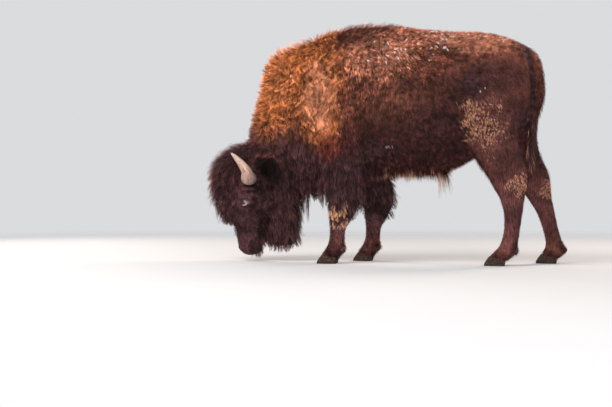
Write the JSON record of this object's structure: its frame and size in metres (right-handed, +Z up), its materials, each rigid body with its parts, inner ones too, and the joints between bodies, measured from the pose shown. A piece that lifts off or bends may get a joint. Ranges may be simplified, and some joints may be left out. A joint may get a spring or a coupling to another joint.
{
  "type": "american bison",
  "caption": "Young bison bull in winter coat, standing with its head lowered to graze, with short curved horns, a shoulder hump and a beard.",
  "frame": {"origin": "middle of the bounding box in plan, on the ground under the soles", "axes": "+Z up, -X the way the animal faces, -Y its left side"},
  "size_m": [2.5356, 0.6362, 1.6717],
  "materials": {
    "coat": "dry shaggy hair, tan over the shoulders and dark brown below and on the head",
    "horn": "dull pale horn with fine lengthwise grain",
    "eye": "wet dark eye",
    "claw": "dull dark hoof"
  },
  "bodies": {
    "root": {"trunk": "coat", "neck": "coat", "head": "coat", "tail": "coat", "ear_left": "coat", "ear_right": "coat", "foreleg_left": "coat", "foreleg_right": "coat", "hindleg_left": "coat", "hindleg_right": "coat", "horn_left": "horn", "horn_right": "horn", "eye_left": "eye", "eye_right": "eye", "foreleg_left_claw_outer": "claw", "foreleg_left_claw_inner": "claw", "foreleg_left_dewclaw_outer": "claw", "foreleg_left_dewclaw_inner": "claw", "foreleg_right_claw_outer": "claw", "foreleg_right_claw_inner": "claw", "foreleg_right_dewclaw_outer": "claw", "foreleg_right_dewclaw_inner": "claw", "hindleg_left_claw_outer": "claw", "hindleg_left_claw_inner": "claw", "hindleg_left_dewclaw_outer": "claw", "hindleg_left_dewclaw_inner": "claw", "hindleg_right_claw_outer": "claw", "hindleg_right_claw_inner": "claw", "hindleg_right_dewclaw_outer": "claw", "hindleg_right_dewclaw_inner": "claw"}
  },
  "joints": []
}
